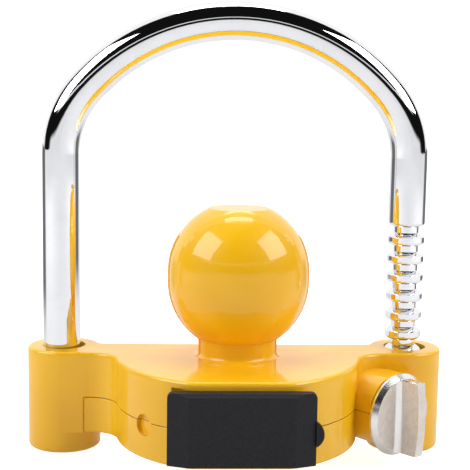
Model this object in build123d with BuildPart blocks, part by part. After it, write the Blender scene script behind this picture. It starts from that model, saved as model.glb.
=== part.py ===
"""Trailer coupler lock: a cast ball that fills the coupler's socket, and a ratcheting steel shackle over it.

Frame: millimetres, origin at the centre of the coupling ball, X to the right, Y to the back, Z up.
The two shackle legs stand behind the ball.  The key is at the front, and the knob is at the front right.
The model stands as it is sold: shackle raised, pawl drawn back, dust cover shut.
"""
import os
from math import cos, hypot, radians, sin, sqrt

from build123d import *

# ---------------------------------------------------------------- coupling ball and its neck
ball_diameter = 47.5
ball_belt = 3.5                 # short straight band round the ball's middle
ball_flat_diameter = 20.6
neck_diameter = 26.4
neck_fillet = 1.6
ball_rise = 27.5                # from the plate's top to the ball's centre
core_wall = 5.5                 # wall left round the hollow core
mould_step = 0.35               # the back half of the mould stands this much proud
mould_step_plane = -3.0
mould_step_top = 14.0

# ---------------------------------------------------------------- cast body
plate_radius = 41.5
plate_thickness = 28.4
front_flat = 38.2               # ball centre to the flat front
leg_spacing = 121.0
leg_setback = 14.0              # ball centre back to the plane of the legs
barrel_diameter = 25.4
barrel_height = 36.0
bar_back = 16.5
parting_depth = 15.8            # plate top down to where the two castings meet
edge_round = 1.2
parting_chamfer = 0.3
inner_corner = 10.5
front_corner = 5.0
back_corner = 3.0
casting_gap = 0.3               # lower casting to the barrels' webs
web_radius = 14.7               # how far each barrel's web reaches below the parting

# ---------------------------------------------------------------- shackle
bar_diameter = 13.0
leg_bore_play = 1.8             # bore's diameter over the bar's
leg_bore_diameter = bar_diameter + leg_bore_play
straight_rise = 67.3            # plate top to where the legs start to bend
shoulder_radius = 34.0
shoulder_angle = 40.9
leg_depth = 31.0                # how far the legs stand in the barrels
leg_tip_chamfer = 1.0
shackle_play = 0.8              # the raised shackle leans this far to the left in its bores
notch_pitch = 6.7
notch_depth = 2.1
notch_band = 2.2
notch_upper_run = 1.4
notch_lower_run = 1.6
notches_above_pawl = 9
notches_below_pawl = 1

# ---------------------------------------------------------------- knob, its shaft and the boss round it
knob_angle = 39.0               # turned to the right from straight ahead
knob_depth = 18.0               # plate top down to the knob's axis
shaft_to_leg = 20.15
pawl_inset = 14.6               # boss face back to the pawl's centre line
boss_radius = 13.0
boss_corner = 9.0
knob_back_radius = 14.05
knob_face_radius = 12.7
knob_rim = 2.4
fin_rise = 8.4
fin_end_drop = 1.0
fin_root_width = 4.6
fin_crest_width = 3.7
fin_fillet = 2.3
shaft_diameter = 8.0
square_width = shaft_diameter * 0.7
square_length = 7.5
crank_pin_diameter = 3.6
tongue_width = 5.0
tongue_thickness = 2.0
tongue_length = 6.0
washer_thickness = 0.5
washer_diameter = 18.0
ring_thickness = 0.8
ring_diameter = shaft_diameter + 3.0
ring_groove_diameter = shaft_diameter * 0.8
front_wall = 3.0                # boss face to the shaft's lock chamber
running_gap = 0.06

# ---------------------------------------------------------------- pawl and spring
pawl_width = 5.0
pawl_height = 12.0
pawl_tail = 8.0                 # shaft axis back to the pawl's rear face
pawl_travel = 2.4
tooth_root = 2.6
tooth_tip = 1.6
tooth_length = 2.4
guide_gap = 0.15
slot_gap = 0.12
spring_wire = 0.7
spring_diameter = 3.6
spring_pitch = 2.3
spring_seat_depth = 3.0
spring_length = 11.5
spring_bore_gap = 0.25

# ---------------------------------------------------------------- key lock and its slide
face_block_width = 44.0
face_block_back = 30.0
pad_width = 35.0
pad_height = 18.6
pad_rise = 2.5
plug_diameter = 9.6
cylinder_wall = 2.7
cylinder_diameter = plug_diameter + 2 * cylinder_wall
cylinder_length = 22.0
plug_gap = 0.06
keyway_width = 1.6
keyway_height = 6.4
keyway_depth = 18.0
wafer_count = 5
wafer_thickness = 0.6
wafer_pitch = 2.6
wafer_width = 4.0
wafer_height = plug_diameter - 1.2
wafer_spring_diameter = 1.2
wafer_spring_length = 4.0
cam_diameter = plug_diameter + 1.4
cam_thickness = 2.0
cam_pin_diameter = 1.6
cam_pin_offset = 2.2
cam_pin_length = 2.2
cam_screw_head = 2.6
cam_screw_diameter = 1.6
slide_depth = 3.6
slide_gap = 0.2
slide_arm_width = 1.6
slide_slot_gap = 0.15
slide_left = 8.0
lock_clearance = 0.15
cylinder_pin_diameter = 3.0

# ---------------------------------------------------------------- dust cover
cover_width = 47.0
cover_height = 23.7
cover_top_drop = 2.5            # plate top down to the cover's top edge
cover_front = 43.0              # ball centre to the cover's front face
cover_face_width = 34.0
cover_bevel = 2.5
cover_gap = 0.4                 # cover's rim to the flat front
cover_wall = 1.4
cover_corner = 2.0
tab_radius = 4.6
tab_reach = 2.4
tab_drop = 15.9                 # plate top down to the middle of the tab
tab_thickness = 2.2
hinge_inset = 3.3
hinge_pin_diameter = 1.5
knuckle_diameter = 2.6
hinge_lug = 4.0
hinge_clear = 0.25
hinge_sweep_gap = 0.3           # hollow in the castings beyond the swinging corner of the cover
knuckle_length = 3.5

# ---------------------------------------------------------------- fasteners and the round recess
screw_diameter = 5.0
screw_head_diameter = 8.5
screw_head_height = 5.0
screw_recess = 1.0
screw_bite = 9.0
screw_key = 4.0
screw_places = [(-35.0, 8.0), (-28.0, -14.0), (22.0, -27.0), (24.0, 7.0)]
recess_diameter = 7.2
recess_depth = 1.6
recess_bearing = 48.8           # from straight ahead, towards the left
recess_drop = 17.0

# ---------------------------------------------------------------- derived places
top = -ball_rise
plate_bottom = top - plate_thickness
barrel_bottom = top - barrel_height
parting = top - parting_depth
half_spacing = leg_spacing / 2
bar_front = leg_setback - barrel_diameter / 2
knob_z = top - knob_depth
notch_radius = bar_diameter / 2 - notch_depth

turn = radians(knob_angle)
towards_leg = Vector(cos(turn), sin(turn), 0)
outwards = Vector(sin(turn), -cos(turn), 0)
right_leg = Vector(half_spacing, leg_setback, 0)
knob_foot = right_leg - towards_leg * shaft_to_leg + outwards * pawl_inset
knob_plane = Plane(origin=(knob_foot.X, knob_foot.Y, knob_z), x_dir=towards_leg, z_dir=outwards)
lock_face = front_flat + pad_rise
lock_z = parting
cam_back = lock_face - cylinder_length - 0.2 - cam_thickness
shaft_radius = shaft_diameter / 2
chamber_back = front_wall + ring_thickness + 0.3 + square_length
pawl_front = pawl_inset - pawl_width / 2 - guide_gap
cam_throw = cam_pin_offset / sqrt(2)
slide_travel = 2 * cam_throw
tip_rest = square_width / 2 + lock_clearance + slide_travel * cos(turn)


def body_outline():
    """The castings' shape in plan: a round plate with a flat front, and a bar out to the two barrels."""
    with BuildSketch() as plan:
        with BuildSketch(mode=Mode.PRIVATE) as disc:
            Circle(plate_radius)
            with Locations((0, (bar_back - front_flat) / 2)):
                Rectangle(3 * plate_radius, bar_back + front_flat, mode=Mode.INTERSECT)
        add(disc.sketch)
        with Locations((0, (bar_front + bar_back) / 2)):
            Rectangle(leg_spacing, bar_back - bar_front)
        with Locations((half_spacing, leg_setback), (-half_spacing, leg_setback)):
            Circle(barrel_diameter / 2)
        corner_x = sqrt(plate_radius**2 - bar_front**2)
        front_x = sqrt(plate_radius**2 - front_flat**2)
        back_x = half_spacing - sqrt((barrel_diameter / 2) ** 2 - (bar_back - leg_setback) ** 2)
        for x, y, radius in (
            (corner_x, bar_front, inner_corner),
            (front_x, -front_flat, front_corner),
            (back_x, bar_back, back_corner),
        ):
            for side in (-1, 1):
                spot = Vector(side * x, y, 0)
                fillet(plan.vertices().sort_by_distance(spot)[0], radius)
    return plan.sketch


def leg_circle(radius):
    """A circle round each shackle leg."""
    with BuildSketch() as rings:
        with Locations((half_spacing, leg_setback), (-half_spacing, leg_setback)):
            Circle(radius)
    return rings.sketch


def slide_outline(shift):
    """The lock slide in plan, moved along X by shift: a strip with an angled arm up to the knob's shaft."""
    def place(along, out):
        return knob_foot + towards_leg * along + outwards * out

    arm_back = -(chamber_back - slide_gap)
    tip_front = place(-tip_rest, arm_back + slide_arm_width)
    tip_back = place(-tip_rest, arm_back)
    strip_front = -cam_back + slide_gap
    strip_back = strip_front + slide_depth
    root_back = tip_back - towards_leg * ((tip_back.Y - strip_back) / sin(turn))
    root_front = tip_front - towards_leg * ((tip_front.Y - strip_front) / sin(turn))
    points = [
        (-slide_left, strip_front),
        (root_front.X, strip_front),
        (tip_front.X, tip_front.Y),
        (tip_back.X, tip_back.Y),
        (root_back.X, strip_back),
        (-slide_left, strip_back),
    ]
    return [(x + shift, y) for x, y in points]


def ball_profile(extra):
    """Half section of the ball and neck down into the plate, swollen by extra."""
    radius = ball_diameter / 2 + extra
    neck = neck_diameter / 2 + extra
    half_belt = ball_belt / 2
    flat = ball_flat_diameter / 2
    flat_z = half_belt + sqrt((ball_diameter / 2) ** 2 - flat**2)
    neck_z = -half_belt - sqrt(radius**2 - neck**2)
    with BuildSketch(Plane.XZ) as half:
        with BuildLine():
            CenterArc((0, half_belt), radius, 0, 90)
            Line((radius, half_belt), (radius, -half_belt))
            RadiusArc((radius, -half_belt), (neck, neck_z), radius)
            Line((neck, neck_z), (neck, top + neck_fillet))
            RadiusArc((neck, top + neck_fillet), (neck + neck_fillet, top), -neck_fillet)
            Polyline(
                (neck + neck_fillet, top), (neck + neck_fillet, top - 2), (0, top - 2), (0, half_belt + radius)
            )
        make_face()
        with Locations((0, flat_z + ball_diameter / 2)):
            Rectangle(2 * ball_diameter, ball_diameter, mode=Mode.SUBTRACT)
    return half.sketch


def knob_boss():
    """The boss behind the knob: flat sided, round shouldered, and level with the plate's underside."""
    drop = knob_z - plate_bottom
    with BuildPart() as boss:
        with BuildSketch(knob_plane) as section:
            with Locations((0, (boss_radius - drop) / 2)):
                Rectangle(2 * boss_radius, boss_radius + drop)
            fillet(section.vertices().group_by(Axis.Z)[-1], boss_corner)
        extrude(amount=-(pawl_inset + 3))
    return boss.part


def knob_cylinder(radius, near, far):
    """A cylinder on the knob's axis between two distances behind the boss face."""
    with BuildPart() as drum:
        with BuildSketch(knob_plane.offset(-near)):
            Circle(radius)
        extrude(amount=-(far - near))
    return drum.part


def lock_drum(radius, front, back):
    """A cylinder on the key lock's axis between two distances in front of the ball centre."""
    with BuildPart() as drum:
        with BuildSketch(Plane.XZ.offset(back)):
            with Locations((0, lock_z)):
                Circle(radius)
        extrude(amount=front - back)
    return drum.part


def pawl_block(low, high, half_height, half_width):
    """A block on the pawl's line, between two places along it measured from the shaft towards the leg."""
    with BuildPart() as block:
        with BuildSketch(knob_plane.offset(-pawl_inset - half_width)):
            with Locations(((low + high) / 2, 0)):
                Rectangle(high - low, 2 * half_height)
        extrude(amount=2 * half_width)
    return block.part


pawl_line = Plane(
    origin=tuple(knob_foot - outwards * pawl_inset)[:2] + (knob_z,), x_dir=(0, 0, 1), z_dir=towards_leg
)
spring_foot = -(pawl_tail - spring_seat_depth) - spring_length
slide_bottom = min(knob_z, lock_z - cam_throw - cam_pin_diameter / 2) - 1.2
slide_top = parting - guide_gap
hinge_x = -(cover_width / 2 - hinge_inset)
hinge_y = -(front_flat + cover_gap)
hinge_throat = hypot(hinge_inset, cover_front - cover_bevel + hinge_y) + hinge_sweep_gap
cover_low = top - cover_top_drop - cover_height
cover_high = top - cover_top_drop

# Everything that is hollow inside the pair of castings, taken from both of them.
with BuildPart() as inner_space:
    add(lock_drum(cylinder_diameter / 2, lock_face + 1, lock_face - cylinder_length))
    add(lock_drum(cam_diameter / 2 + slide_gap * 2, lock_face - cylinder_length, cam_back - slide_gap))
    with BuildSketch(Plane.XY.offset(slide_bottom - slide_gap)):
        with BuildSketch(mode=Mode.PRIVATE) as sweep_room:
            for shift in (0, slide_travel):
                Polygon(*slide_outline(shift), align=None)
            with BuildSketch(mode=Mode.PRIVATE) as arm_room:
                corners = [p for shift in (0, slide_travel) for p in slide_outline(shift)[1:5]]
                with BuildLine():
                    for start, end in zip(corners, corners[1:] + corners[:1]):
                        Line(start, end)
                make_hull()
            add(arm_room.sketch)
        add(sweep_room.sketch)
        offset(amount=slide_gap, kind=Kind.INTERSECTION)
    extrude(amount=parting - slide_bottom + slide_gap)
    add(knob_cylinder(shaft_radius + running_gap, -1, pawl_front + 1))
    add(knob_cylinder(ring_diameter / 2 + 0.4, front_wall, chamber_back))
    add(pawl_block(-pawl_tail - guide_gap, shaft_to_leg, pawl_height / 2 + guide_gap, pawl_width / 2 + guide_gap))
    with BuildSketch(pawl_line.offset(spring_foot - running_gap)):
        Circle(spring_diameter / 2 + spring_bore_gap)
    extrude(amount=spring_length)
    with BuildSketch(Plane.XY.offset(cover_low - hinge_clear)):
        with Locations((hinge_x, hinge_y)):
            Circle(hinge_throat)
    extrude(amount=cover_height + 2 * hinge_clear)
    with BuildSketch(Plane.XY.offset(parting - 6)):
        with Locations((-(cylinder_diameter / 2 + 0.6), -(lock_face - cylinder_length / 2))):
            Circle(cylinder_pin_diameter / 2)
    extrude(amount=12)
    bearing = radians(recess_bearing)
    rim = (-plate_radius * sin(bearing), -plate_radius * cos(bearing), top - recess_drop)
    with BuildSketch(Plane(origin=rim, x_dir=(0, 0, 1), z_dir=(-sin(bearing), -cos(bearing), 0))):
        Circle(recess_diameter / 2)
    extrude(amount=recess_depth, both=True)


def face_block():
    """The square block behind the dust cover, with the pad that the key lock's face is flush with."""
    with BuildPart() as block:
        margin = cover_wall - 0.4
        with BuildSketch(Plane.XZ.offset(face_block_back)):
            with Locations((0, (cover_low + cover_high) / 2)):
                Rectangle(face_block_width, cover_height - 2 * margin)
        extrude(amount=front_flat - face_block_back)
        with BuildSketch(Plane.XZ.offset(front_flat)):
            with Locations((0, (cover_low + cover_high) / 2)):
                Rectangle(pad_width, pad_height)
        extrude(amount=pad_rise)
    return block.part


def hinge_lug_at(low):
    """One lug that holds the dust cover's hinge pin, with its web to the pad."""
    with BuildPart() as lug:
        with BuildSketch(Plane.XY.offset(low)):
            with Locations((hinge_x, hinge_y)):
                Circle(knuckle_diameter / 2)
            with Locations((hinge_x + hinge_throat / 2 + 0.5, hinge_y)):
                Rectangle(hinge_throat + 1, 1.8)
            with Locations((hinge_x, hinge_y)):
                Circle(hinge_pin_diameter / 2, mode=Mode.SUBTRACT)
        extrude(amount=hinge_lug)
    return lug.part


# ---------------------------------------------------------------- upper casting: plate, barrels, ball
with BuildPart() as barrels:
    with BuildSketch(Plane.XY.offset(barrel_bottom)):
        add(leg_circle(barrel_diameter / 2))
    extrude(amount=barrel_height - edge_round)
    fillet(barrels.faces().group_by(Axis.Z)[0].edges(), 1.5)

with BuildPart() as upper_body:
    with BuildSketch(Plane.XY.offset(parting)):
        add(body_outline())
    extrude(amount=parting_depth)
    fillet(upper_body.faces().sort_by(Axis.Z)[-1].outer_wire().edges(), edge_round)
    chamfer(upper_body.faces().sort_by(Axis.Z)[0].outer_wire().edges(), parting_chamfer)
    add(face_block())
    add(knob_boss())
    with BuildSketch(Plane.XY.offset(parting)):
        Rectangle(3 * leg_spacing, 6 * plate_radius)
    extrude(amount=-barrel_height, mode=Mode.SUBTRACT)
    with BuildSketch(Plane.XY.offset(plate_bottom)):
        add(leg_circle(web_radius))
        add(body_outline(), mode=Mode.INTERSECT)
    extrude(amount=plate_thickness - parting_depth + 2 * parting_chamfer)
    add(barrels.part)
    add(revolve(ball_profile(0), Axis.Z, mode=Mode.PRIVATE))
    back_half = revolve(ball_profile(mould_step), Axis.Z, mode=Mode.PRIVATE) & (
        Pos(0, mould_step_plane + 50, mould_step_top - 50) * Box(100, 100, 100, mode=Mode.PRIVATE)
    )
    add(back_half)
    with BuildSketch(Plane.XY.offset(barrel_bottom - 1)):
        add(leg_circle(leg_bore_diameter / 2))
    extrude(amount=barrel_height + 2, mode=Mode.SUBTRACT)
    with BuildSketch(Plane.XZ):
        Circle(ball_diameter / 2 - core_wall)
        with Locations((0, parting / 2 - 0.5)):
            Rectangle(neck_diameter - 2 * core_wall, -parting + 1)
        with Locations((-ball_diameter, 0)):
            Rectangle(2 * ball_diameter, 4 * ball_diameter, mode=Mode.SUBTRACT)
    revolve(axis=Axis.Z, mode=Mode.SUBTRACT)
    add(inner_space.part, mode=Mode.SUBTRACT)
    add(hinge_lug_at(parting + 0.6))
    with BuildSketch(Plane.XY.offset(parting - 1)):
        with Locations(*screw_places):
            Circle(screw_diameter / 2)
    extrude(amount=screw_bite + 2, mode=Mode.SUBTRACT)
upper_body.part.label = "upper_body"

# ---------------------------------------------------------------- lower casting: the plate's underside
with BuildPart() as lower_body:
    with BuildSketch(Plane.XY.offset(plate_bottom)):
        add(body_outline())
    extrude(amount=plate_thickness - parting_depth)
    chamfer(lower_body.faces().sort_by(Axis.Z)[-1].outer_wire().edges(), parting_chamfer)
    fillet(lower_body.faces().sort_by(Axis.Z)[0].outer_wire().edges(), edge_round)
    add(face_block())
    add(knob_boss())
    with BuildSketch(Plane.XY.offset(parting)):
        Rectangle(3 * leg_spacing, 6 * plate_radius)
    extrude(amount=plate_thickness, mode=Mode.SUBTRACT)
    with BuildSketch(Plane.XY.offset(barrel_bottom - 1)):
        add(leg_circle(web_radius + casting_gap))
        for side in (-1, 1):
            with Locations((side * (half_spacing + barrel_diameter), leg_setback)):
                Rectangle(2 * barrel_diameter, 2 * barrel_diameter)
    extrude(amount=barrel_height + 2, mode=Mode.SUBTRACT)
    add(inner_space.part, mode=Mode.SUBTRACT)
    add(hinge_lug_at(parting - 0.6 - hinge_lug))
    with BuildSketch(Plane.XY.offset(plate_bottom - 1)):
        with Locations(*screw_places):
            Circle(screw_head_diameter / 2 + 0.2)
    extrude(amount=screw_recess + screw_head_height + 1, mode=Mode.SUBTRACT)
    with BuildSketch(Plane.XY.offset(plate_bottom)):
        with Locations(*screw_places):
            Circle(screw_diameter / 2 + 0.25)
    extrude(amount=plate_thickness, mode=Mode.SUBTRACT)
lower_body.part.label = "lower_body"

# ---------------------------------------------------------------- screws that hold the castings together, from below
with BuildPart() as body_screws:
    head_low = plate_bottom + screw_recess
    with BuildSketch(Plane.XY.offset(head_low)):
        with Locations(*screw_places):
            Circle(screw_head_diameter / 2)
    extrude(amount=screw_head_height)
    with BuildSketch(Plane.XY.offset(head_low + screw_head_height)):
        with Locations(*screw_places):
            Circle(screw_diameter / 2)
    extrude(amount=parting + screw_bite - head_low - screw_head_height)
    with BuildSketch(Plane.XY.offset(head_low)):
        with Locations(*screw_places):
            RegularPolygon(screw_key / 2, 6, major_radius=False)
    extrude(amount=screw_head_height * 0.6, mode=Mode.SUBTRACT)
    chamfer(body_screws.faces().group_by(Axis.Z)[0].edges().filter_by(GeomType.CIRCLE), 0.5)
body_screws.part.label = "body_screws"

# ---------------------------------------------------------------- shackle: one bent bar, notched on the right leg
leg_end = top - leg_depth
bend_start = top + straight_rise
bend = radians(shoulder_angle)
shoulder_end = (
    half_spacing - shoulder_radius * (1 - cos(bend)),
    bend_start + shoulder_radius * sin(bend),
)
arch_radius = (half_spacing - shoulder_radius) / cos(bend) + shoulder_radius
arch_top = shoulder_end[1] + arch_radius * (1 - sin(bend))
leg_plane = Plane(origin=(-shackle_play, leg_setback, 0), x_dir=(1, 0, 0), z_dir=(0, -1, 0))

with BuildPart() as shackle:
    with BuildLine(leg_plane) as spine:
        Line((-half_spacing, leg_end), (-half_spacing, bend_start))
        RadiusArc((-half_spacing, bend_start), (-shoulder_end[0], shoulder_end[1]), shoulder_radius)
        RadiusArc((-shoulder_end[0], shoulder_end[1]), (0, arch_top), arch_radius)
        RadiusArc((0, arch_top), shoulder_end, arch_radius)
        RadiusArc(shoulder_end, (half_spacing, bend_start), shoulder_radius)
        Line((half_spacing, bend_start), (half_spacing, leg_end))
    with BuildSketch(Plane(origin=(-half_spacing - shackle_play, leg_setback, leg_end), z_dir=(0, 0, 1))):
        Circle(bar_diameter / 2)
    sweep(path=spine.wires()[0])
    chamfer(shackle.faces().group_by(Axis.Z)[0].edges(), leg_tip_chamfer)
    notch_foot = (half_spacing - shackle_play, leg_setback, knob_z)
    notch_plane = Plane(origin=notch_foot, x_dir=(1, 0, 0), z_dir=(0, -1, 0))
    with BuildSketch(notch_plane):
        for step in range(-notches_below_pawl, notches_above_pawl + 1):
            middle = step * notch_pitch
            low, high = middle - notch_band / 2, middle + notch_band / 2
            rim = bar_diameter / 2
            with BuildLine():
                Polyline((rim, low - notch_lower_run), (notch_radius, low), (notch_radius, high))
                TangentArc(
                    (rim, high + notch_upper_run), (notch_radius + 0.3, high), tangent=(0.0, -1.0)
                )
                Line((notch_radius, high), (notch_radius + 0.3, high))
                Polyline(
                    (rim, high + notch_upper_run),
                    (rim + 1, high + notch_upper_run),
                    (rim + 1, low - notch_lower_run),
                    (rim, low - notch_lower_run),
                )
            make_face()
    revolve(axis=Axis(notch_foot, (0, 0, 1)), mode=Mode.SUBTRACT)
shackle.part.label = "shackle"

# ---------------------------------------------------------------- knob: a bevelled disc with a thumb fin right across it
rim_face = washer_thickness + knob_rim
crest = rim_face + fin_rise
fin_plane = Plane(origin=knob_plane.origin, x_dir=towards_leg, z_dir=(0, 0, -1))
crest_plane = Plane(origin=knob_plane.origin, x_dir=(0, 0, 1), z_dir=towards_leg)
crest_radius = (knob_face_radius**2 + fin_end_drop**2) / (2 * fin_end_drop)

with BuildPart() as knob_fin:
    with BuildSketch(fin_plane):
        with BuildLine():
            Polyline(
                (-knob_face_radius, rim_face - 1),
                (-knob_face_radius, rim_face),
                (-fin_root_width / 2, rim_face),
                (-fin_crest_width / 2, crest),
                (fin_crest_width / 2, crest),
                (fin_root_width / 2, rim_face),
                (knob_face_radius, rim_face),
                (knob_face_radius, rim_face - 1),
                close=True,
            )
        make_face()
    extrude(amount=knob_face_radius, both=True)
    with BuildSketch(knob_plane):
        Circle(knob_face_radius)
    extrude(amount=crest + 1, mode=Mode.INTERSECT)
    with BuildSketch(crest_plane):
        with Locations((0, crest - crest_radius)):
            Circle(crest_radius)
    extrude(amount=knob_face_radius, both=True, mode=Mode.INTERSECT)
    root_edges = knob_fin.edges().filter_by(GeomType.LINE).filter_by(lambda e: e.length > knob_face_radius)
    fin_roots = root_edges.sort_by(lambda e: abs(knob_plane.to_local_coords(e.center()).Z - rim_face))[:2]
    fillet(fin_roots, fin_fillet)

with BuildPart() as knob:
    with BuildSketch(knob_plane.offset(washer_thickness)):
        Circle(knob_back_radius)
    extrude(amount=knob_rim)
    rims = knob.edges().filter_by(GeomType.CIRCLE)
    front_rim = rims.sort_by(lambda e: knob_plane.to_local_coords(e.center()).Z)[-1]
    chamfer(front_rim, knob_rim * 0.68, knob_back_radius - knob_face_radius)
    add(knob_fin.part)
    with BuildSketch(knob_plane):
        Circle(shaft_radius)
    extrude(amount=washer_thickness + knob_rim * 0.6, mode=Mode.SUBTRACT)
    with BuildSketch(knob_plane):
        Rectangle(tongue_thickness, tongue_width)
    extrude(amount=washer_thickness + tongue_length, mode=Mode.SUBTRACT)
knob.part.label = "knob"

# ---------------------------------------------------------------- knob shaft, with its square and crank pin
crank_throw = pawl_travel / 2
shaft_end = pawl_front - 0.1
with BuildPart() as knob_shaft:
    with BuildSketch(knob_plane.offset(washer_thickness + knob_rim * 0.6)):
        Circle(shaft_radius)
    extrude(amount=-(washer_thickness + knob_rim * 0.6 + shaft_end))
    with BuildSketch(knob_plane.offset(washer_thickness)):
        Rectangle(tongue_thickness, tongue_width)
    extrude(amount=tongue_length)
    with BuildSketch(knob_plane.offset(-front_wall - ring_thickness - 0.3)):
        Rectangle(shaft_diameter + 1, shaft_diameter + 1)
        Rectangle(square_width, square_width, mode=Mode.SUBTRACT)
    extrude(amount=-square_length, mode=Mode.SUBTRACT)
    with BuildSketch(knob_plane.offset(-front_wall - running_gap)):
        Circle(shaft_radius + 1)
        Circle(ring_groove_diameter / 2, mode=Mode.SUBTRACT)
    extrude(amount=-ring_thickness, mode=Mode.SUBTRACT)
    with BuildSketch(knob_plane.offset(-shaft_end)):
        with Locations((-crank_throw, crank_throw)):
            Circle(crank_pin_diameter / 2)
    extrude(amount=-(pawl_width - 0.2))
knob_shaft.part.label = "knob_shaft"

# ---------------------------------------------------------------- open ring that keeps the shaft from being pulled out
with BuildPart() as shaft_ring:
    with BuildSketch(knob_plane.offset(-front_wall - running_gap)):
        Circle(ring_diameter / 2)
        Circle(ring_groove_diameter / 2, mode=Mode.SUBTRACT)
        with Locations((0, -ring_diameter / 2)):
            Rectangle(ring_groove_diameter * 0.7, ring_diameter, mode=Mode.SUBTRACT)
    extrude(amount=-ring_thickness)
shaft_ring.part.label = "shaft_ring"

# ---------------------------------------------------------------- thin washer between the knob and the boss
with BuildPart() as knob_washer:
    with BuildSketch(knob_plane):
        Circle(washer_diameter / 2)
        Circle(shaft_radius + running_gap, mode=Mode.SUBTRACT)
    extrude(amount=washer_thickness - running_gap)
knob_washer.part.label = "knob_washer"

# ---------------------------------------------------------------- pawl: drawn back by the shaft's crank pin
nose = shaft_to_leg - leg_bore_diameter / 2 - guide_gap - 0.05
shoulder = nose - tooth_length
slot_half = crank_throw + crank_pin_diameter / 2 + slot_gap
slot_low = crank_throw - crank_pin_diameter / 2 - slot_gap
slot_high = crank_throw * sqrt(2) + crank_pin_diameter / 2 + slot_gap
tooth_plane = Plane(origin=pawl_line.origin, x_dir=towards_leg, z_dir=outwards)
with BuildPart() as locking_pawl:
    add(pawl_block(-pawl_tail, shoulder, pawl_height / 2, pawl_width / 2))
    with BuildSketch(tooth_plane.offset(-pawl_width / 2 + 0.5)):
        with BuildLine():
            Polyline(
                (shoulder, -tooth_root / 2),
                (nose, -tooth_tip / 2),
                (nose, tooth_tip / 2),
                (shoulder, tooth_root / 2),
                close=True,
            )
        make_face()
    extrude(amount=pawl_width - 1)
    with BuildSketch(tooth_plane.offset(-pawl_width)):
        with Locations((0, (slot_low + slot_high) / 2)):
            RectangleRounded(2 * slot_half, slot_high - slot_low, crank_pin_diameter * 0.3)
    extrude(amount=2 * pawl_width, mode=Mode.SUBTRACT)
    with BuildSketch(pawl_line.offset(-pawl_tail)):
        Circle(spring_diameter / 2 + spring_bore_gap)
    extrude(amount=spring_seat_depth, mode=Mode.SUBTRACT)
locking_pawl.part.label = "locking_pawl"

# ---------------------------------------------------------------- pawl spring, squeezed while the pawl is drawn back
coil_radius = (spring_diameter - spring_wire) / 2
spring_rise = spring_length - spring_wire - 2 * running_gap
spring_start = pawl_line.offset(spring_foot + spring_wire / 2 + running_gap)
with BuildPart() as pawl_spring:
    with BuildLine() as coil:
        Helix(spring_pitch, spring_rise, coil_radius, center=spring_start.origin, direction=towards_leg)
    with BuildSketch(coil.line ^ 0):
        Circle(spring_wire / 2)
    sweep(path=coil.line, is_frenet=True)
pawl_spring.part.label = "pawl_spring"

# ---------------------------------------------------------------- key lock: housing, plug, wafers and cam
plug_flange = 1.5
plug_flange_radius = plug_diameter / 2 + 0.9
lock_tail = lock_face - cylinder_length
with BuildPart() as lock_cylinder:
    add(lock_drum(cylinder_diameter / 2, lock_face, lock_tail))
    add(lock_drum(plug_diameter / 2 + plug_gap, lock_face + 1, lock_tail - 1), mode=Mode.SUBTRACT)
    add(lock_drum(plug_flange_radius + plug_gap, lock_face + 1, lock_face - plug_flange), mode=Mode.SUBTRACT)
    with BuildSketch(Plane.XY.offset(lock_z - cylinder_diameter)):
        with Locations((-(cylinder_diameter / 2 + 0.6), -(lock_face - cylinder_length / 2))):
            Circle(cylinder_pin_diameter / 2)
    extrude(amount=2 * cylinder_diameter, mode=Mode.SUBTRACT)
    chamfer(lock_cylinder.faces().sort_by(Axis.Y)[0].outer_wire().edges(), 0.4)
lock_cylinder.part.label = "lock_cylinder"

wafer_ys = [-(lock_face - plug_flange - 1.5 - i * wafer_pitch) for i in range(wafer_count)]
with BuildPart() as lock_plug:
    add(lock_drum(plug_diameter / 2, lock_face, lock_tail - 0.2))
    add(lock_drum(plug_flange_radius, lock_face, lock_face - plug_flange + plug_gap))
    chamfer(lock_plug.faces().sort_by(Axis.Y)[0].outer_wire().edges(), 0.3)
    with BuildSketch(Plane.XZ.offset(lock_face - keyway_depth)):
        with Locations((0, lock_z)):
            Rectangle(keyway_width, keyway_height)
        with Locations((keyway_width / 2, lock_z + keyway_height / 5)):
            Rectangle(keyway_width / 2, keyway_height / 5)
    extrude(amount=keyway_depth + 1, mode=Mode.SUBTRACT)
    with BuildSketch(Plane.XY.offset(lock_z - wafer_height / 2)):
        with Locations(*[(0, y) for y in wafer_ys]):
            Rectangle(wafer_width, wafer_thickness)
    extrude(amount=wafer_height, mode=Mode.SUBTRACT)
    with BuildSketch(Plane.XY.offset(lock_z - wafer_spring_length / 2)):
        with Locations(*[(wafer_width / 2 + wafer_spring_diameter / 2 + 0.05, y) for y in wafer_ys]):
            Circle(wafer_spring_diameter / 2 + 0.05)
    extrude(amount=wafer_spring_length, mode=Mode.SUBTRACT)
    add(lock_drum(cam_screw_diameter / 2, lock_tail + 4.8, lock_tail - 3), mode=Mode.SUBTRACT)
lock_plug.part.label = "lock_plug"

with BuildPart() as wafers:
    with BuildSketch(Plane.XY.offset(lock_z - wafer_height / 2)):
        with Locations(*[(0, y) for y in wafer_ys]):
            Rectangle(wafer_width, wafer_thickness)
    extrude(amount=wafer_height)
    with BuildSketch(Plane.XZ.offset(lock_tail)):
        with Locations((0, lock_z)):
            Rectangle(keyway_width + 0.6, keyway_height - 0.8)
    extrude(amount=cylinder_length, mode=Mode.SUBTRACT)
wafers.part.label = "wafers"

with BuildPart() as wafer_springs:
    spring_x = wafer_width / 2 + wafer_spring_diameter / 2 + 0.05
    for y in wafer_ys:
        with BuildSketch(Plane(origin=(spring_x, y, lock_z - wafer_spring_length / 2), z_dir=(0, 0, 1))):
            Circle(wafer_spring_diameter / 2)
            Circle(wafer_spring_diameter / 4, mode=Mode.SUBTRACT)
        extrude(amount=wafer_spring_length)
wafer_springs.part.label = "wafer_springs"

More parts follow.
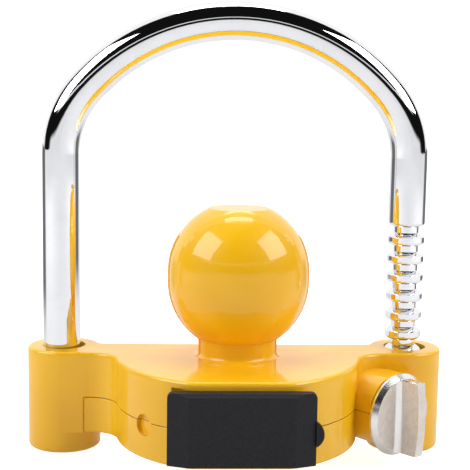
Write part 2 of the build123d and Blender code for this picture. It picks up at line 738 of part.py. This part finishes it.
with BuildPart() as lock_cam:
    cam_front = cam_back + cam_thickness
    add(lock_drum(cam_diameter / 2, cam_front, cam_back))
    with BuildSketch(Plane.XZ.offset(cam_back)):
        with Locations((-cam_throw, lock_z - cam_throw)):
            Circle(cam_pin_diameter / 2)
    extrude(amount=-cam_pin_length)
    add(lock_drum(cam_screw_diameter / 2, cam_front + 1, cam_back - 1), mode=Mode.SUBTRACT)
    add(lock_drum(cam_screw_head / 2 + 0.05, cam_back + 1.2, cam_back - 1), mode=Mode.SUBTRACT)
lock_cam.part.label = "lock_cam"

with BuildPart() as cam_screw:
    add(lock_drum(cam_screw_diameter / 2, cam_back + cam_thickness + 4.5, cam_back + 1.2))
    add(lock_drum(cam_screw_head / 2, cam_back + 1.2, cam_back + 0.1))
    with BuildSketch(Plane.XZ.offset(cam_back)):
        with Locations((0, lock_z)):
            Rectangle(cam_screw_head + 1, 0.5)
    extrude(amount=0.6, mode=Mode.SUBTRACT)
cam_screw.part.label = "cam_screw"

with BuildPart() as cylinder_pin:
    with BuildSketch(Plane.XY.offset(parting - 5.9)):
        with Locations((-(cylinder_diameter / 2 + 0.6), -(lock_face - cylinder_length / 2))):
            Circle(cylinder_pin_diameter / 2)
    extrude(amount=11.8)
cylinder_pin.part.label = "cylinder_pin"

# ---------------------------------------------------------------- lock slide: carries the key's turn across to the square
with BuildPart() as lock_slide:
    with BuildSketch(Plane.XY.offset(slide_bottom)):
        Polygon(*slide_outline(0), align=None)
        with Locations((-cam_throw, -cam_back + cam_pin_length / 2)):
            Rectangle(cam_pin_diameter + 2 * slide_slot_gap, cam_pin_length + 0.5, mode=Mode.SUBTRACT)
    extrude(amount=slide_top - slide_bottom)
lock_slide.part.label = "lock_slide"

# ---------------------------------------------------------------- dust cover: a moulded cap on a hinge pin
half_cover = cover_width / 2
half_face = cover_face_width / 2
cover_rim = front_flat + cover_gap


def cover_plan(inset):
    """The cover in plan, with every wall set in by inset; the back stays open when inset."""
    slope = cover_bevel / (half_cover - half_face)
    lean = inset * (sqrt(1 + slope**2) - slope)
    side = half_cover - inset
    face = half_face - inset * 0.2
    front = cover_front - inset
    back = front - (side - face) * slope
    rear = cover_rim - (1 if inset else 0)
    return [(-side, -rear), (-side, -back), (-face, -front), (face, -front), (side, -back), (side, -rear)]


with BuildPart() as dust_cover:
    with BuildSketch(Plane.XY.offset(cover_low)):
        Polygon(*cover_plan(0), align=None)
    extrude(amount=cover_height)
    with BuildSketch(Plane.XZ.offset(cover_rim + 0.6)):
        with Locations((half_cover + tab_reach - tab_radius, top - tab_drop)):
            Circle(tab_radius)
        with Locations((half_cover, top - tab_drop)):
            Rectangle(4 * tab_radius, 4 * tab_radius, align=(Align.MAX, Align.CENTER), mode=Mode.SUBTRACT)
    extrude(amount=tab_thickness)
    upright = dust_cover.edges().filter_by(Axis.Y).group_by(lambda e: round(abs(e.center().X), 1))[-1]
    fillet(upright.group_by(Axis.Z)[-1], cover_corner)
    chamfer(dust_cover.faces().sort_by(Axis.Y)[0].edges().sort_by(Axis.Z)[-1], 1.0)
    with BuildSketch(Plane.XY.offset(cover_low + cover_wall)):
        Polygon(*cover_plan(cover_wall), align=None)
    extrude(amount=cover_height - 2 * cover_wall, mode=Mode.SUBTRACT)
    for low in (parting + 0.6 + hinge_lug + hinge_clear, parting - 0.6 - hinge_lug - hinge_clear - knuckle_length):
        with BuildSketch(Plane.XY.offset(low)):
            with Locations((hinge_x, hinge_y)):
                Circle(knuckle_diameter / 2)
            with Locations((hinge_x + knuckle_diameter / 2, hinge_y - knuckle_diameter / 2)):
                Rectangle(hinge_inset, knuckle_diameter * 0.7, align=(Align.MAX, Align.CENTER))
        extrude(amount=knuckle_length)
    with BuildSketch(Plane.XY.offset(cover_low + cover_wall)):
        with Locations((hinge_x, hinge_y)):
            Circle(hinge_pin_diameter / 2 + running_gap)
    extrude(amount=cover_height - 2 * cover_wall, mode=Mode.SUBTRACT)
dust_cover.part.label = "dust_cover"

with BuildPart() as hinge_pin:
    reach = 0.6 + hinge_lug + hinge_clear + knuckle_length - 0.3
    with BuildSketch(Plane.XY.offset(parting - reach)):
        with Locations((hinge_x, hinge_y)):
            Circle(hinge_pin_diameter / 2)
    extrude(amount=2 * reach)
hinge_pin.part.label = "hinge_pin"

# ---------------------------------------------------------------- write one file per piece
pieces = [
    upper_body, lower_body, body_screws, shackle, knob, knob_shaft, shaft_ring, knob_washer, locking_pawl,
    pawl_spring, lock_cylinder, lock_plug, wafers, wafer_springs, lock_cam, cam_screw, cylinder_pin, lock_slide,
    dust_cover, hinge_pin,
]
os.makedirs("parts", exist_ok=True)
for piece in pieces:
    export_step(piece.part, f"parts/{piece.part.label}.step")
    print(f"{piece.part.label:14s} {len(piece.part.solids())} solids {piece.part.volume / 1000:8.2f} cm3")
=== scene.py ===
# %% [markdown]
# # A trailer coupler lock
# The lock is a cast ball on a heavy plate, with a bright steel shackle standing in two barrels behind it.
# All the hard parts come ready made from the CAD frame.  This lesson gives them their finishes, and sets up a
# small white studio round them, because paint and chrome are only as good as the room that they mirror.

# %% Load the frame
from math import cos, pi, radians, sin

import bpy
from mathutils import Matrix, Vector


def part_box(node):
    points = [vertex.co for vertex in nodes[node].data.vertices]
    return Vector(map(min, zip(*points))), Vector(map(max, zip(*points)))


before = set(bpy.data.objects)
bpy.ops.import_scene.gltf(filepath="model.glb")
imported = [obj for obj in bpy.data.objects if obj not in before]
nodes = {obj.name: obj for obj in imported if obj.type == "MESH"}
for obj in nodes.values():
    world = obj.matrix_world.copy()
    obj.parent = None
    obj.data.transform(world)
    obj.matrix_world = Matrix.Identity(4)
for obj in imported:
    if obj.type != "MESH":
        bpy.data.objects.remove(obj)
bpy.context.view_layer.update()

# %% [markdown]
# Every finish below is a node tree.  Small helpers keep the trees readable: they make a node and set its sockets,
# open a new group, place a finished group in a material, and write sums, ranges, blends and noise in one line each.


# %% Helpers for node trees
def node(tree, kind, **settings):
    """A new node; settings name its properties, or its input sockets with spaces as underscores."""
    made = tree.nodes.new(kind)
    for name, value in settings.items():
        if name in made.bl_rna.properties:
            setattr(made, name, value)
        else:
            made.inputs[name.replace("_", " ")].default_value = value
    return made


def link(tree, source, target):
    tree.links.new(source, target)


def on_piece(tree):
    """The piece's own coordinates, in metres, which stay with it when it moves."""
    return node(tree, "ShaderNodeTexCoord").outputs["Object"]


def group(name, inputs, outputs):
    """An empty group with its input and output nodes; inputs are (name, default), outputs are names."""
    tree = bpy.data.node_groups.new(name, "ShaderNodeTree")
    for label, value in inputs:
        socket = tree.interface.new_socket(label, in_out="INPUT", socket_type="NodeSocketFloat")
        socket.default_value = value
    for label in outputs:
        tree.interface.new_socket(label, in_out="OUTPUT", socket_type="NodeSocketFloat")
    return tree, tree.nodes.new("NodeGroupInput"), tree.nodes.new("NodeGroupOutput")


def placed(tree, group_tree, **values):
    """A finished group put into a tree, with values for its inputs."""
    made = tree.nodes.new("ShaderNodeGroup")
    made.node_tree = group_tree
    for name, value in values.items():
        made.inputs[name.replace("_", " ")].default_value = value
    return made


def math(tree, operation, first, second=None, third=None):
    """A math node on sockets or plain numbers, giving back its output socket."""
    made = node(tree, "ShaderNodeMath", operation=operation)
    for slot, value in enumerate((first, second, third)):
        if value is None:
            continue
        if isinstance(value, (int, float)):
            made.inputs[slot].default_value = value
        else:
            link(tree, value, made.inputs[slot])
    return made.outputs[0]


def remap(tree, value, low, high, to_low=0.0, to_high=1.0):
    """A smooth step from to_low, where value is low, to to_high, where it is high."""
    made = node(tree, "ShaderNodeMapRange", interpolation_type="SMOOTHSTEP")
    for name, number in (("From Min", low), ("From Max", high), ("To Min", to_low), ("To Max", to_high)):
        made.inputs[name].default_value = number
    link(tree, value, made.inputs["Value"])
    return made.outputs["Result"]


def blend(tree, share, first, second):
    """A colour between two, by a share that changes over the surface."""
    made = node(tree, "ShaderNodeMix", data_type="RGBA")
    link(tree, share, made.inputs["Factor"])
    for slot, value in (("A", first), ("B", second)):
        socket = [s for s in made.inputs if s.name == slot and s.type == "RGBA"][0]
        if isinstance(value, tuple):
            socket.default_value = value
        else:
            link(tree, value, socket)
    return [s for s in made.outputs if s.type == "RGBA"][0]


def noise(tree, scale, detail=2.0, roughness=0.5, stretch=None):
    """Noise on the piece's own coordinates in metres, so scale is in cells per metre."""
    place = on_piece(tree)
    if stretch:
        mapping = node(tree, "ShaderNodeMapping")
        mapping.inputs["Scale"].default_value = stretch
        link(tree, place, mapping.inputs["Vector"])
        place = mapping.outputs["Vector"]
    made = node(tree, "ShaderNodeTexNoise", Scale=scale, Detail=detail, Roughness=roughness)
    link(tree, place, made.inputs["Vector"])
    return made.outputs["Fac"]


# %% [markdown]
# Several finishes share the same small effects.  Each is a group, made once.
# *Orange peel* is the slow ripple that a wet coat dries with, plus the odd speck of dust under it.
# *Edges* finds where a surface turns sharply: it compares the true normal with one rounded over a small radius.
# *Handling* is the faint smear of finger grease and fine scratches that every handled metal piece carries.
# *Grain* is the fine tooth of a cast or moulded skin.

# %% The shared effects
peel, peel_in, peel_out = group("orange_peel", [("Ripple Scale", 420.0), ("Speck Scale", 900.0)], ["Height"])
ripple = node(peel, "ShaderNodeTexNoise", Detail=1.5, Roughness=0.4)
speck = node(peel, "ShaderNodeTexVoronoi", feature="F1")
for texture, name in ((ripple, "Ripple Scale"), (speck, "Speck Scale")):
    link(peel, on_piece(peel), texture.inputs["Vector"])
    link(peel, peel_in.outputs[name], texture.inputs["Scale"])
rare = math(peel, "LESS_THAN", speck.outputs["Color"], 0.06)
dot = remap(peel, speck.outputs["Distance"], 0.22, 0.05)
specks = math(peel, "MULTIPLY", rare, dot)
link(peel, math(peel, "ADD", ripple.outputs["Fac"], math(peel, "MULTIPLY", specks, 0.8)), peel_out.inputs["Height"])

edges, edges_in, edges_out = group("edges", [("Sharpness", 8.0)], ["Edge"])
rounded = node(edges, "ShaderNodeBevel", samples=4, Radius=0.0005)
true_normal = node(edges, "ShaderNodeNewGeometry").outputs["Normal"]
facing = node(edges, "ShaderNodeVectorMath", operation="DOT_PRODUCT")
link(edges, rounded.outputs["Normal"], facing.inputs[0])
link(edges, true_normal, facing.inputs[1])
turned = math(edges, "SUBTRACT", 1.0, facing.outputs["Value"])
link(edges, math(edges, "MULTIPLY", turned, edges_in.outputs["Sharpness"]), edges_out.inputs["Edge"])

handling, handling_in, handling_out = group("handling", [("Smear Scale", 55.0)], ["Smear", "Scratch"])
smear = node(handling, "ShaderNodeTexNoise", Detail=4.0, Roughness=0.62, Distortion=0.8)
scratch = node(handling, "ShaderNodeTexNoise", Scale=160.0, Detail=2.0, Distortion=0.3)
long_way = node(handling, "ShaderNodeMapping")
long_way.inputs["Scale"].default_value = (1.0, 14.0, 3.0)
place = on_piece(handling)
link(handling, place, smear.inputs["Vector"])
link(handling, handling_in.outputs["Smear Scale"], smear.inputs["Scale"])
link(handling, place, long_way.inputs["Vector"])
link(handling, long_way.outputs["Vector"], scratch.inputs["Vector"])
link(handling, remap(handling, smear.outputs["Fac"], 0.42, 0.7), handling_out.inputs["Smear"])
link(handling, remap(handling, scratch.outputs["Fac"], 0.62, 0.7), handling_out.inputs["Scratch"])

grain, grain_in, grain_out = group("grain", [("Grain Scale", 3000.0)], ["Height", "Mottle"])
fine = node(grain, "ShaderNodeTexNoise", Detail=3.0, Roughness=0.7)
link(grain, on_piece(grain), fine.inputs["Vector"])
link(grain, grain_in.outputs["Grain Scale"], fine.inputs["Scale"])
link(grain, fine.outputs["Fac"], grain_out.inputs["Height"])
link(grain, remap(grain, fine.outputs["Fac"], 0.35, 0.65), grain_out.inputs["Mottle"])
print("shared effects:", [g.name for g in bpy.data.node_groups])


# %% Starting and dressing a material
def finish(name, **sockets):
    """A new material with one Principled shader; plain values go straight onto its sockets."""
    made = bpy.data.materials.new(name)
    made.use_nodes = True
    shader = made.node_tree.nodes["Principled BSDF"]
    for label, value in sockets.items():
        shader.inputs[label.replace("_", " ")].default_value = value
    return made, made.node_tree, shader


def bump(tree, shader, height, depth):
    """Raises the surface by height times depth, in metres."""
    made = node(tree, "ShaderNodeBump", Strength=1.0, Distance=depth)
    link(tree, height, made.inputs["Height"])
    link(tree, made.outputs["Normal"], shader.inputs["Normal"])


def dress(material, *names):
    """Puts one material on the named pieces, in place of what they came with."""
    for name in names:
        nodes[name].data.materials.clear()
        nodes[name].data.materials.append(material)
    print(material.name, "on", ", ".join(names))


# %% [markdown]
# ## Golden enamel
# Both castings wear one thick, glossy coat of golden yellow enamel.  Paint could be one shiny surface, but a real
# coat is two: colour below, and a clear gloss above that mirrors the room.  The Principled shader's coat does that.
# The colour runs a little thinner and lighter over sharp edges, and drifts slightly over the large faces.
# A hair's breadth of paint on each side of the joint between the castings is darkened. This is painted shade,
# standing in for the shadow in the joint's groove.  It's painted where the height is the joint's, away from the two
# barrels, which the joint doesn't cross.

# %% Enamel
enamel_color = (0.93, 0.515, 0.005, 1.0)
enamel_thin = (0.97, 0.56, 0.03, 1.0)
enamel_deep = (0.89, 0.47, 0.004, 1.0)
painted_seam_shade_color = (0.10, 0.035, 0.002, 1.0)
enamel, tree, shader = finish(
    "golden_enamel", Coat_Roughness=0.055, Coat_Weight=0.75, Coat_IOR=1.5, Specular_IOR_Level=0.25
)
drift = remap(tree, noise(tree, 28.0, 2.0), 0.35, 0.65)
body_color = blend(tree, drift, enamel_color, enamel_deep)
edge = placed(tree, edges, Sharpness=5.0)
edge_share = math(tree, "MINIMUM", edge.outputs["Edge"], 0.6)
worn_color = blend(tree, edge_share, body_color, enamel_thin)

# %% Painted shade in the joint
joint_height, joint_half, web_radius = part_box("lower_body")[1].z, 0.00016, 0.0147
barrel_radius, leg_y, painted_seam_shade_share = 0.0127, 0.014, 0.85
leg_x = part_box("upper_body")[1].x - barrel_radius
spot = node(tree, "ShaderNodeSeparateXYZ")
link(tree, on_piece(tree), spot.inputs[0])
across, back, height = spot.outputs
off_joint = math(tree, "ABSOLUTE", math(tree, "SUBTRACT", height, joint_height))
sideways = math(tree, "SUBTRACT", math(tree, "ABSOLUTE", across), leg_x)
rearward = math(tree, "SUBTRACT", back, leg_y)
from_leg = math(tree, "SQRT", math(tree, "ADD", math(tree, "MULTIPLY", sideways, sideways),
                                   math(tree, "MULTIPLY", rearward, rearward)))
beyond_web = math(tree, "GREATER_THAN", from_leg, web_radius)
# A dark line of painted shade along the joint, standing in for the shadow in its groove.
painted_seam_shade = math(tree, "MULTIPLY", remap(tree, off_joint, joint_half, joint_half * 0.5), beyond_web)
painted_seam_shade = math(tree, "MULTIPLY", painted_seam_shade, painted_seam_shade_share)
link(tree, blend(tree, painted_seam_shade, worn_color, painted_seam_shade_color), shader.inputs["Base Color"])

# %% The coat's skin
skin = placed(tree, peel, Ripple_Scale=330.0, Speck_Scale=260.0)
bump(tree, shader, skin.outputs["Height"], 0.000012)
gloss_loss = placed(tree, handling, Smear_Scale=40.0)
link(tree, math(tree, "MULTIPLY_ADD", gloss_loss.outputs["Smear"], 0.08, 0.38), shader.inputs["Roughness"])
dress(enamel, "upper_body", "lower_body")

# %% [markdown]
# ## Chrome
# The shackle is polished steel under bright chrome.  Its look is almost wholly what it mirrors, so the finish
# stays close to a mirror, with only a faint smear and hair-fine polishing marks to break the reflections.
# It could be a perfect mirror, but then it would look drawn rather than handled.

# %% Chrome
chrome_clean, chrome_smeared = (0.87, 0.875, 0.895, 1.0), (0.83, 0.835, 0.86, 1.0)
chrome, tree, shader = finish("bright_chrome", Metallic=1.0)
touch = placed(tree, handling, Smear_Scale=70.0)
marks = math(tree, "MULTIPLY_ADD", touch.outputs["Smear"], 0.030, 0.018)
link(tree, math(tree, "MULTIPLY_ADD", touch.outputs["Scratch"], 0.03, marks), shader.inputs["Roughness"])
link(tree, blend(tree, touch.outputs["Smear"], chrome_clean, chrome_smeared), shader.inputs["Base Color"])
polish = noise(tree, 900.0, 2.0, 0.5, (1.0, 1.0, 0.12))
bump(tree, shader, polish, 0.0000012)
dress(chrome, "shackle")

# %% [markdown]
# ## Satin die cast for the knob
# The knob is cast, its flat faces left satin and a little sandy, while its rim, its ridge and the hollows beside
# the ridge are buffed bright.  Where it is buffed follows from which way the surface faces: the flats look along
# the knob's own axis or square across it, and everything that turns between the two was under the buff.
# The flats also get scattered dark pits, where the casting was porous.

# %% Knob
cast_dark, cast_mid, cast_light = (0.70, 0.63, 0.565, 1.0), (0.80, 0.73, 0.665, 1.0), (0.88, 0.82, 0.76, 1.0)
buffed_color, pit_color = (0.86, 0.85, 0.84, 1.0), (0.16, 0.13, 0.11, 1.0)
pit_share, pit_strength = 0.10, 0.7
knob_angle = radians(39.0)
along = Vector((cos(knob_angle), sin(knob_angle), 0))
outward = Vector((sin(knob_angle), -cos(knob_angle), 0))
satin, tree, shader = finish("satin_casting")


def facing_share(tree, direction, low, high):
    """1 where the piece's own surface faces along direction, either way."""
    normal = node(tree, "ShaderNodeTexCoord").outputs["Normal"]
    made = node(tree, "ShaderNodeVectorMath", operation="DOT_PRODUCT")
    link(tree, normal, made.inputs[0])
    made.inputs[1].default_value = direction
    return remap(tree, math(tree, "ABSOLUTE", made.outputs["Value"]), low, high)


flat_front = facing_share(tree, outward, 0.985, 0.998)
flat_side = facing_share(tree, along, 0.97, 0.99)
flat = math(tree, "MAXIMUM", flat_front, flat_side)
sand = placed(tree, grain, Grain_Scale=2600.0)
streak = noise(tree, 520.0, 3.0, 0.6, (1.6, 1.6, 0.8))
cast_low = blend(tree, remap(tree, streak, 0.35, 0.65), cast_dark, cast_mid)
cast_color = blend(tree, math(tree, "MULTIPLY", sand.outputs["Mottle"], 0.5), cast_low, cast_light)
pit = node(tree, "ShaderNodeTexVoronoi", feature="F1", Scale=1300.0)
link(tree, on_piece(tree), pit.inputs["Vector"])
few = math(tree, "LESS_THAN", pit.outputs["Color"], pit_share)
round_pit = remap(tree, pit.outputs["Distance"], 0.32, 0.12)
pits = math(tree, "MULTIPLY", math(tree, "MULTIPLY", few, round_pit), pit_strength)
pitted = blend(tree, pits, cast_color, pit_color)
link(tree, blend(tree, flat, buffed_color, pitted), shader.inputs["Base Color"])
buffed = placed(tree, handling, Smear_Scale=120.0)
bright = math(tree, "MULTIPLY_ADD", buffed.outputs["Smear"], 0.08, 0.20)
link(tree, math(tree, "MULTIPLY_ADD", flat, 0.26, bright), shader.inputs["Roughness"])
link(tree, math(tree, "MULTIPLY_ADD", flat, -0.45, 1.0), shader.inputs["Metallic"])
bump(tree, shader, math(tree, "MULTIPLY", sand.outputs["Height"], flat), 0.00004)
dress(satin, "knob")

# %% [markdown]
# ## Moulded black plastic
# The dust cover is a plain black moulding.  Its mould was spark eroded, which leaves a fine even tooth that
# scatters light, and a black that is really a very dark grey.  Corners are rubbed a touch smoother.

# %% Black plastic
plastic, tree, shader = finish("moulded_black", IOR=1.48, Specular_IOR_Level=0.3)
tooth = placed(tree, grain, Grain_Scale=2200.0)
rub = placed(tree, edges, Sharpness=4.0)
rubbed = math(tree, "MINIMUM", rub.outputs["Edge"], 1.0)
black = blend(tree, tooth.outputs["Mottle"], (0.009, 0.009, 0.012, 1.0), (0.015, 0.015, 0.019, 1.0))
link(tree, blend(tree, rubbed, black, (0.05, 0.05, 0.055, 1.0)), shader.inputs["Base Color"])
link(tree, math(tree, "MULTIPLY_ADD", rubbed, -0.16, 0.55), shader.inputs["Roughness"])
bump(tree, shader, tooth.outputs["Height"], 0.00003)
dress(plastic, "dust_cover")

# %% [markdown]
# ## The working metals inside
# Zinc plated steel is a soft grey with cloudy patches.  Brass is turned, so it carries fine rings.  Spring wire is
# drawn, so its marks run lengthwise.  The thin washer is dark nylon.  One grey would do for all of them while they
# are hidden, but the dust cover opens, and then the brass has to be brass.

# %% Plated steel
steel, tree, shader = finish("zinc_plated_steel", Metallic=1.0)
cloud = remap(tree, noise(tree, 450.0, 3.0, 0.6), 0.35, 0.65)
link(tree, blend(tree, cloud, (0.50, 0.51, 0.53, 1.0), (0.62, 0.63, 0.65, 1.0)), shader.inputs["Base Color"])
worn = placed(tree, handling, Smear_Scale=160.0)
link(tree, math(tree, "MULTIPLY_ADD", worn.outputs["Smear"], 0.12, 0.24), shader.inputs["Roughness"])
bump(tree, shader, noise(tree, 2500.0, 2.0), 0.000006)
dress(steel, "body_screws", "knob_shaft", "locking_pawl", "lock_cam", "cam_screw", "cylinder_pin", "lock_slide",
      "hinge_pin")

# %% Turned brass
brass, tree, shader = finish("turned_brass", Metallic=1.0)
rings = node(tree, "ShaderNodeTexWave", wave_type="BANDS", bands_direction="Y", Scale=900.0, Distortion=0.6)
link(tree, on_piece(tree), rings.inputs["Vector"])
stain = placed(tree, handling, Smear_Scale=110.0)
link(tree, blend(tree, stain.outputs["Smear"], (0.74, 0.55, 0.24, 1.0), (0.58, 0.40, 0.16, 1.0)),
     shader.inputs["Base Color"])
link(tree, math(tree, "MULTIPLY_ADD", stain.outputs["Smear"], 0.15, 0.2), shader.inputs["Roughness"])
bump(tree, shader, rings.outputs["Fac"], 0.000005)
dress(brass, "lock_cylinder", "lock_plug", "wafers")

# %% Spring wire and nylon
wire, tree, shader = finish("spring_wire", Metallic=1.0)
drawn = noise(tree, 1800.0, 2.0, 0.5, (0.3, 0.3, 1.0))
link(tree, blend(tree, remap(tree, drawn, 0.4, 0.6), (0.34, 0.35, 0.38, 1.0), (0.46, 0.47, 0.50, 1.0)),
     shader.inputs["Base Color"])
link(tree, remap(tree, drawn, 0.3, 0.7, 0.2, 0.34), shader.inputs["Roughness"])
dress(wire, "pawl_spring", "wafer_springs", "shaft_ring")

nylon, tree, shader = finish("dark_nylon")
soft = placed(tree, grain, Grain_Scale=1500.0)
link(tree, blend(tree, soft.outputs["Mottle"], (0.012, 0.012, 0.013, 1.0), (0.02, 0.02, 0.022, 1.0)),
     shader.inputs["Base Color"])
link(tree, remap(tree, soft.outputs["Height"], 0.2, 0.8, 0.4, 0.55), shader.inputs["Roughness"])
dress(nylon, "knob_washer")

# %% [markdown]
# ## The studio
# A pale floor, a bright wall behind, and three soft lights: one each side in front and one overhead.  The upper
# front of the room is dark, and polished metal needs that: the black bands in chrome are that darkness mirrored.
# The world can't be one flat colour then, so it is mixed from the direction that a ray goes in: a bright wall
# behind, a low bright rise all along the front where the floor's paper ends, one thin strip of light high in
# front, and darkness between them.

# %% Room
wall_glow, low_glow, strip_glow, room_dark = 1.05, 0.85, 0.85, 0.006
world = bpy.data.worlds.new("studio")
bpy.context.scene.world = world
world.use_nodes = True
tree = world.node_tree
heading = node(tree, "ShaderNodeSeparateXYZ")
link(tree, node(tree, "ShaderNodeTexCoord").outputs["Generated"], heading.inputs[0])
across, back, up = heading.outputs
level = math(tree, "SQRT", math(tree, "ADD", math(tree, "MULTIPLY", across, across),
                                math(tree, "MULTIPLY", back, back)))
behind = remap(tree, math(tree, "DIVIDE", back, math(tree, "MAXIMUM", level, 0.001)), 0.36, 0.52)
strip_low, strip_high = remap(tree, up, 0.27, 0.29), remap(tree, up, 0.36, 0.34)
strip = math(tree, "MULTIPLY", math(tree, "MULTIPLY", strip_low, strip_high), remap(tree, back, -0.3, -0.5))
dark_front = math(tree, "MULTIPLY_ADD", strip, strip_glow, room_dark)
sideways = math(tree, "DIVIDE", math(tree, "ABSOLUTE", across), math(tree, "MAXIMUM", level, 0.001))
sweep_up = math(tree, "MULTIPLY", remap(tree, up, 0.10, 0.03), remap(tree, sideways, 0.97, 0.85))
room = math(tree, "MAXIMUM", math(tree, "MAXIMUM", math(tree, "MULTIPLY", behind, wall_glow), dark_front),
            math(tree, "MULTIPLY", sweep_up, low_glow))
seen = math(tree, "MAXIMUM", room, node(tree, "ShaderNodeLightPath").outputs["Is Camera Ray"])
background = tree.nodes["Background"]
link(tree, seen, background.inputs["Strength"])
background.inputs["Color"].default_value = (1.0, 1.0, 1.0, 1.0)

# %% [markdown]
# The floor is pale paper, lit from above and glowing a little, so that it runs out into the white wall with no
# line between them.  Looked at, it is almost white.  Mirrored in the chrome it is greyer, and has a dim wedge
# behind each side of the lock, where the paper stops short: that wedge draws the thin dark lines down the legs.

# %% Floor
floor_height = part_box("upper_body")[0].z
floor_half = 6.0
near, beyond = 0.15, 1.3                    # metres from the middle, where the glow starts and stops rising
mirrored_glow, mirrored_rise = 0.30, 0.36
seen_glow, seen_rise = 0.85, 0.20
wedge_dimming = 0.86
paper_seen, paper_mirrored, paper_missing = (0.92, 0.92, 0.92, 1.0), (0.45, 0.45, 0.455, 1.0), (0.02, 0.02, 0.02, 1.0)
floor_mesh = bpy.data.meshes.new("floor")
corners = [(x * floor_half, y * floor_half) for x, y in ((-1, -1), (1, -1), (1, 1), (-1, 1))]
floor_mesh.from_pydata([(x, y, floor_height) for x, y in corners], [], [(0, 1, 2, 3)])
floor = bpy.data.objects.new("floor", floor_mesh)
bpy.context.scene.collection.objects.link(floor)
pale = bpy.data.materials.new("pale_floor")
pale.use_nodes = True
tree = pale.node_tree
shader = tree.nodes["Principled BSDF"]
shader.inputs["Roughness"].default_value = 0.9
shader.inputs["Specular IOR Level"].default_value = 0.1
looked_at = node(tree, "ShaderNodeLightPath").outputs["Is Camera Ray"]
place = on_piece(tree)
spot = node(tree, "ShaderNodeSeparateXYZ")
link(tree, place, spot.inputs[0])
reach = node(tree, "ShaderNodeVectorMath", operation="LENGTH")
link(tree, place, reach.inputs[0])
backward = math(tree, "DIVIDE", spot.outputs["Y"], math(tree, "MAXIMUM", reach.outputs["Value"], 0.001))
gap = math(tree, "MULTIPLY", remap(tree, backward, 0.16, 0.34), remap(tree, backward, 0.86, 0.70))
gap = math(tree, "MULTIPLY", gap, remap(tree, reach.outputs["Value"], 0.2, 0.4))
sheet = math(tree, "MULTIPLY_ADD", gap, -wedge_dimming, 1.0)
paper = blend(tree, sheet, paper_missing, paper_mirrored)
link(tree, blend(tree, looked_at, paper, paper_seen), shader.inputs["Base Color"])
shader.inputs["Emission Color"].default_value = (1.0, 1.0, 1.0, 1.0)
far = remap(tree, reach.outputs["Value"], near, beyond)
glow = math(tree, "MULTIPLY_ADD", far, mirrored_rise, mirrored_glow)
mirrored = math(tree, "MULTIPLY", glow, sheet)
seen = math(tree, "MULTIPLY_ADD", far, seen_rise, seen_glow)
strength = node(tree, "ShaderNodeMix", data_type="FLOAT")
for socket, value in ((strength.inputs[0], looked_at), (strength.inputs[2], mirrored), (strength.inputs[3], seen)):
    link(tree, value, socket)
link(tree, strength.outputs[0], shader.inputs["Emission Strength"])
floor_mesh.materials.append(pale)
print("floor at", round(floor_height * 1000, 1), "mm")

# %% [markdown]
# Soft boxes are large, close and even, so their mirrored shapes on the ball are plain bright patches.  Lamps could
# be small and far, but then the enamel would sparkle with points and the shadows would be hard.


# %% Soft lights
def soft_light(name, turned, raised, away, width, height, radiance):
    """A soft box aimed at the ball; turned is measured from straight in front, to the right."""
    data = bpy.data.lights.new(name, "AREA")
    data.shape = "RECTANGLE"
    data.size, data.size_y = width, height
    data.energy = radiance * pi * width * height
    lamp = bpy.data.objects.new(name, data)
    bpy.context.scene.collection.objects.link(lamp)
    a, e = radians(turned), radians(raised)
    toward = Vector((sin(a) * cos(e), -cos(a) * cos(e), sin(e)))
    lamp.location = toward * away
    lamp.rotation_mode = "QUATERNION"
    lamp.rotation_quaternion = toward.to_track_quat("Z", "Y")
    print(name, "gives", round(data.energy, 2), "W")


box_away, box_radiance = 0.9, 5.4
soft_light("left_box", -72, 38, box_away, 0.62, 0.56, box_radiance)
soft_light("right_box", 72, 38, box_away, 0.62, 0.56, box_radiance)
soft_light("overhead_box", 180, 72, box_away, 0.50, 0.36, box_radiance)

# %% [markdown]
# ## The camera
# It stands level with the shackle, a little to the left, and looks slightly down.  It rolls a little too, as a
# hand-set camera does, and a small shift of the lens brings the lock into the middle of the picture.

# %% Camera
looking_down, turned_right, rolled = radians(8.68), radians(2.93), radians(-0.94)
forward = Vector((sin(turned_right) * cos(looking_down), cos(turned_right) * cos(looking_down), -sin(looking_down)))
level_right = Vector((cos(turned_right), -sin(turned_right), 0))
level_down = forward.cross(level_right)
right = level_right * cos(rolled) + level_down * sin(rolled)
down = level_down * cos(rolled) - level_right * sin(rolled)
camera_data = bpy.data.cameras.new("camera")
camera_data.sensor_width, camera_data.lens = 36.0, 91.6
camera_data.shift_x, camera_data.shift_y = -0.0170, 0.0383
camera = bpy.data.objects.new("camera", camera_data)
bpy.context.scene.collection.objects.link(camera)
axes = Matrix((right, -down, -forward)).transposed().to_4x4()
camera_place = (-0.0191, -0.4012, 0.0691)
camera.matrix_world = Matrix.Translation(camera_place) @ axes
bpy.context.scene.camera = camera
bpy.context.scene.view_settings.view_transform = "Standard"
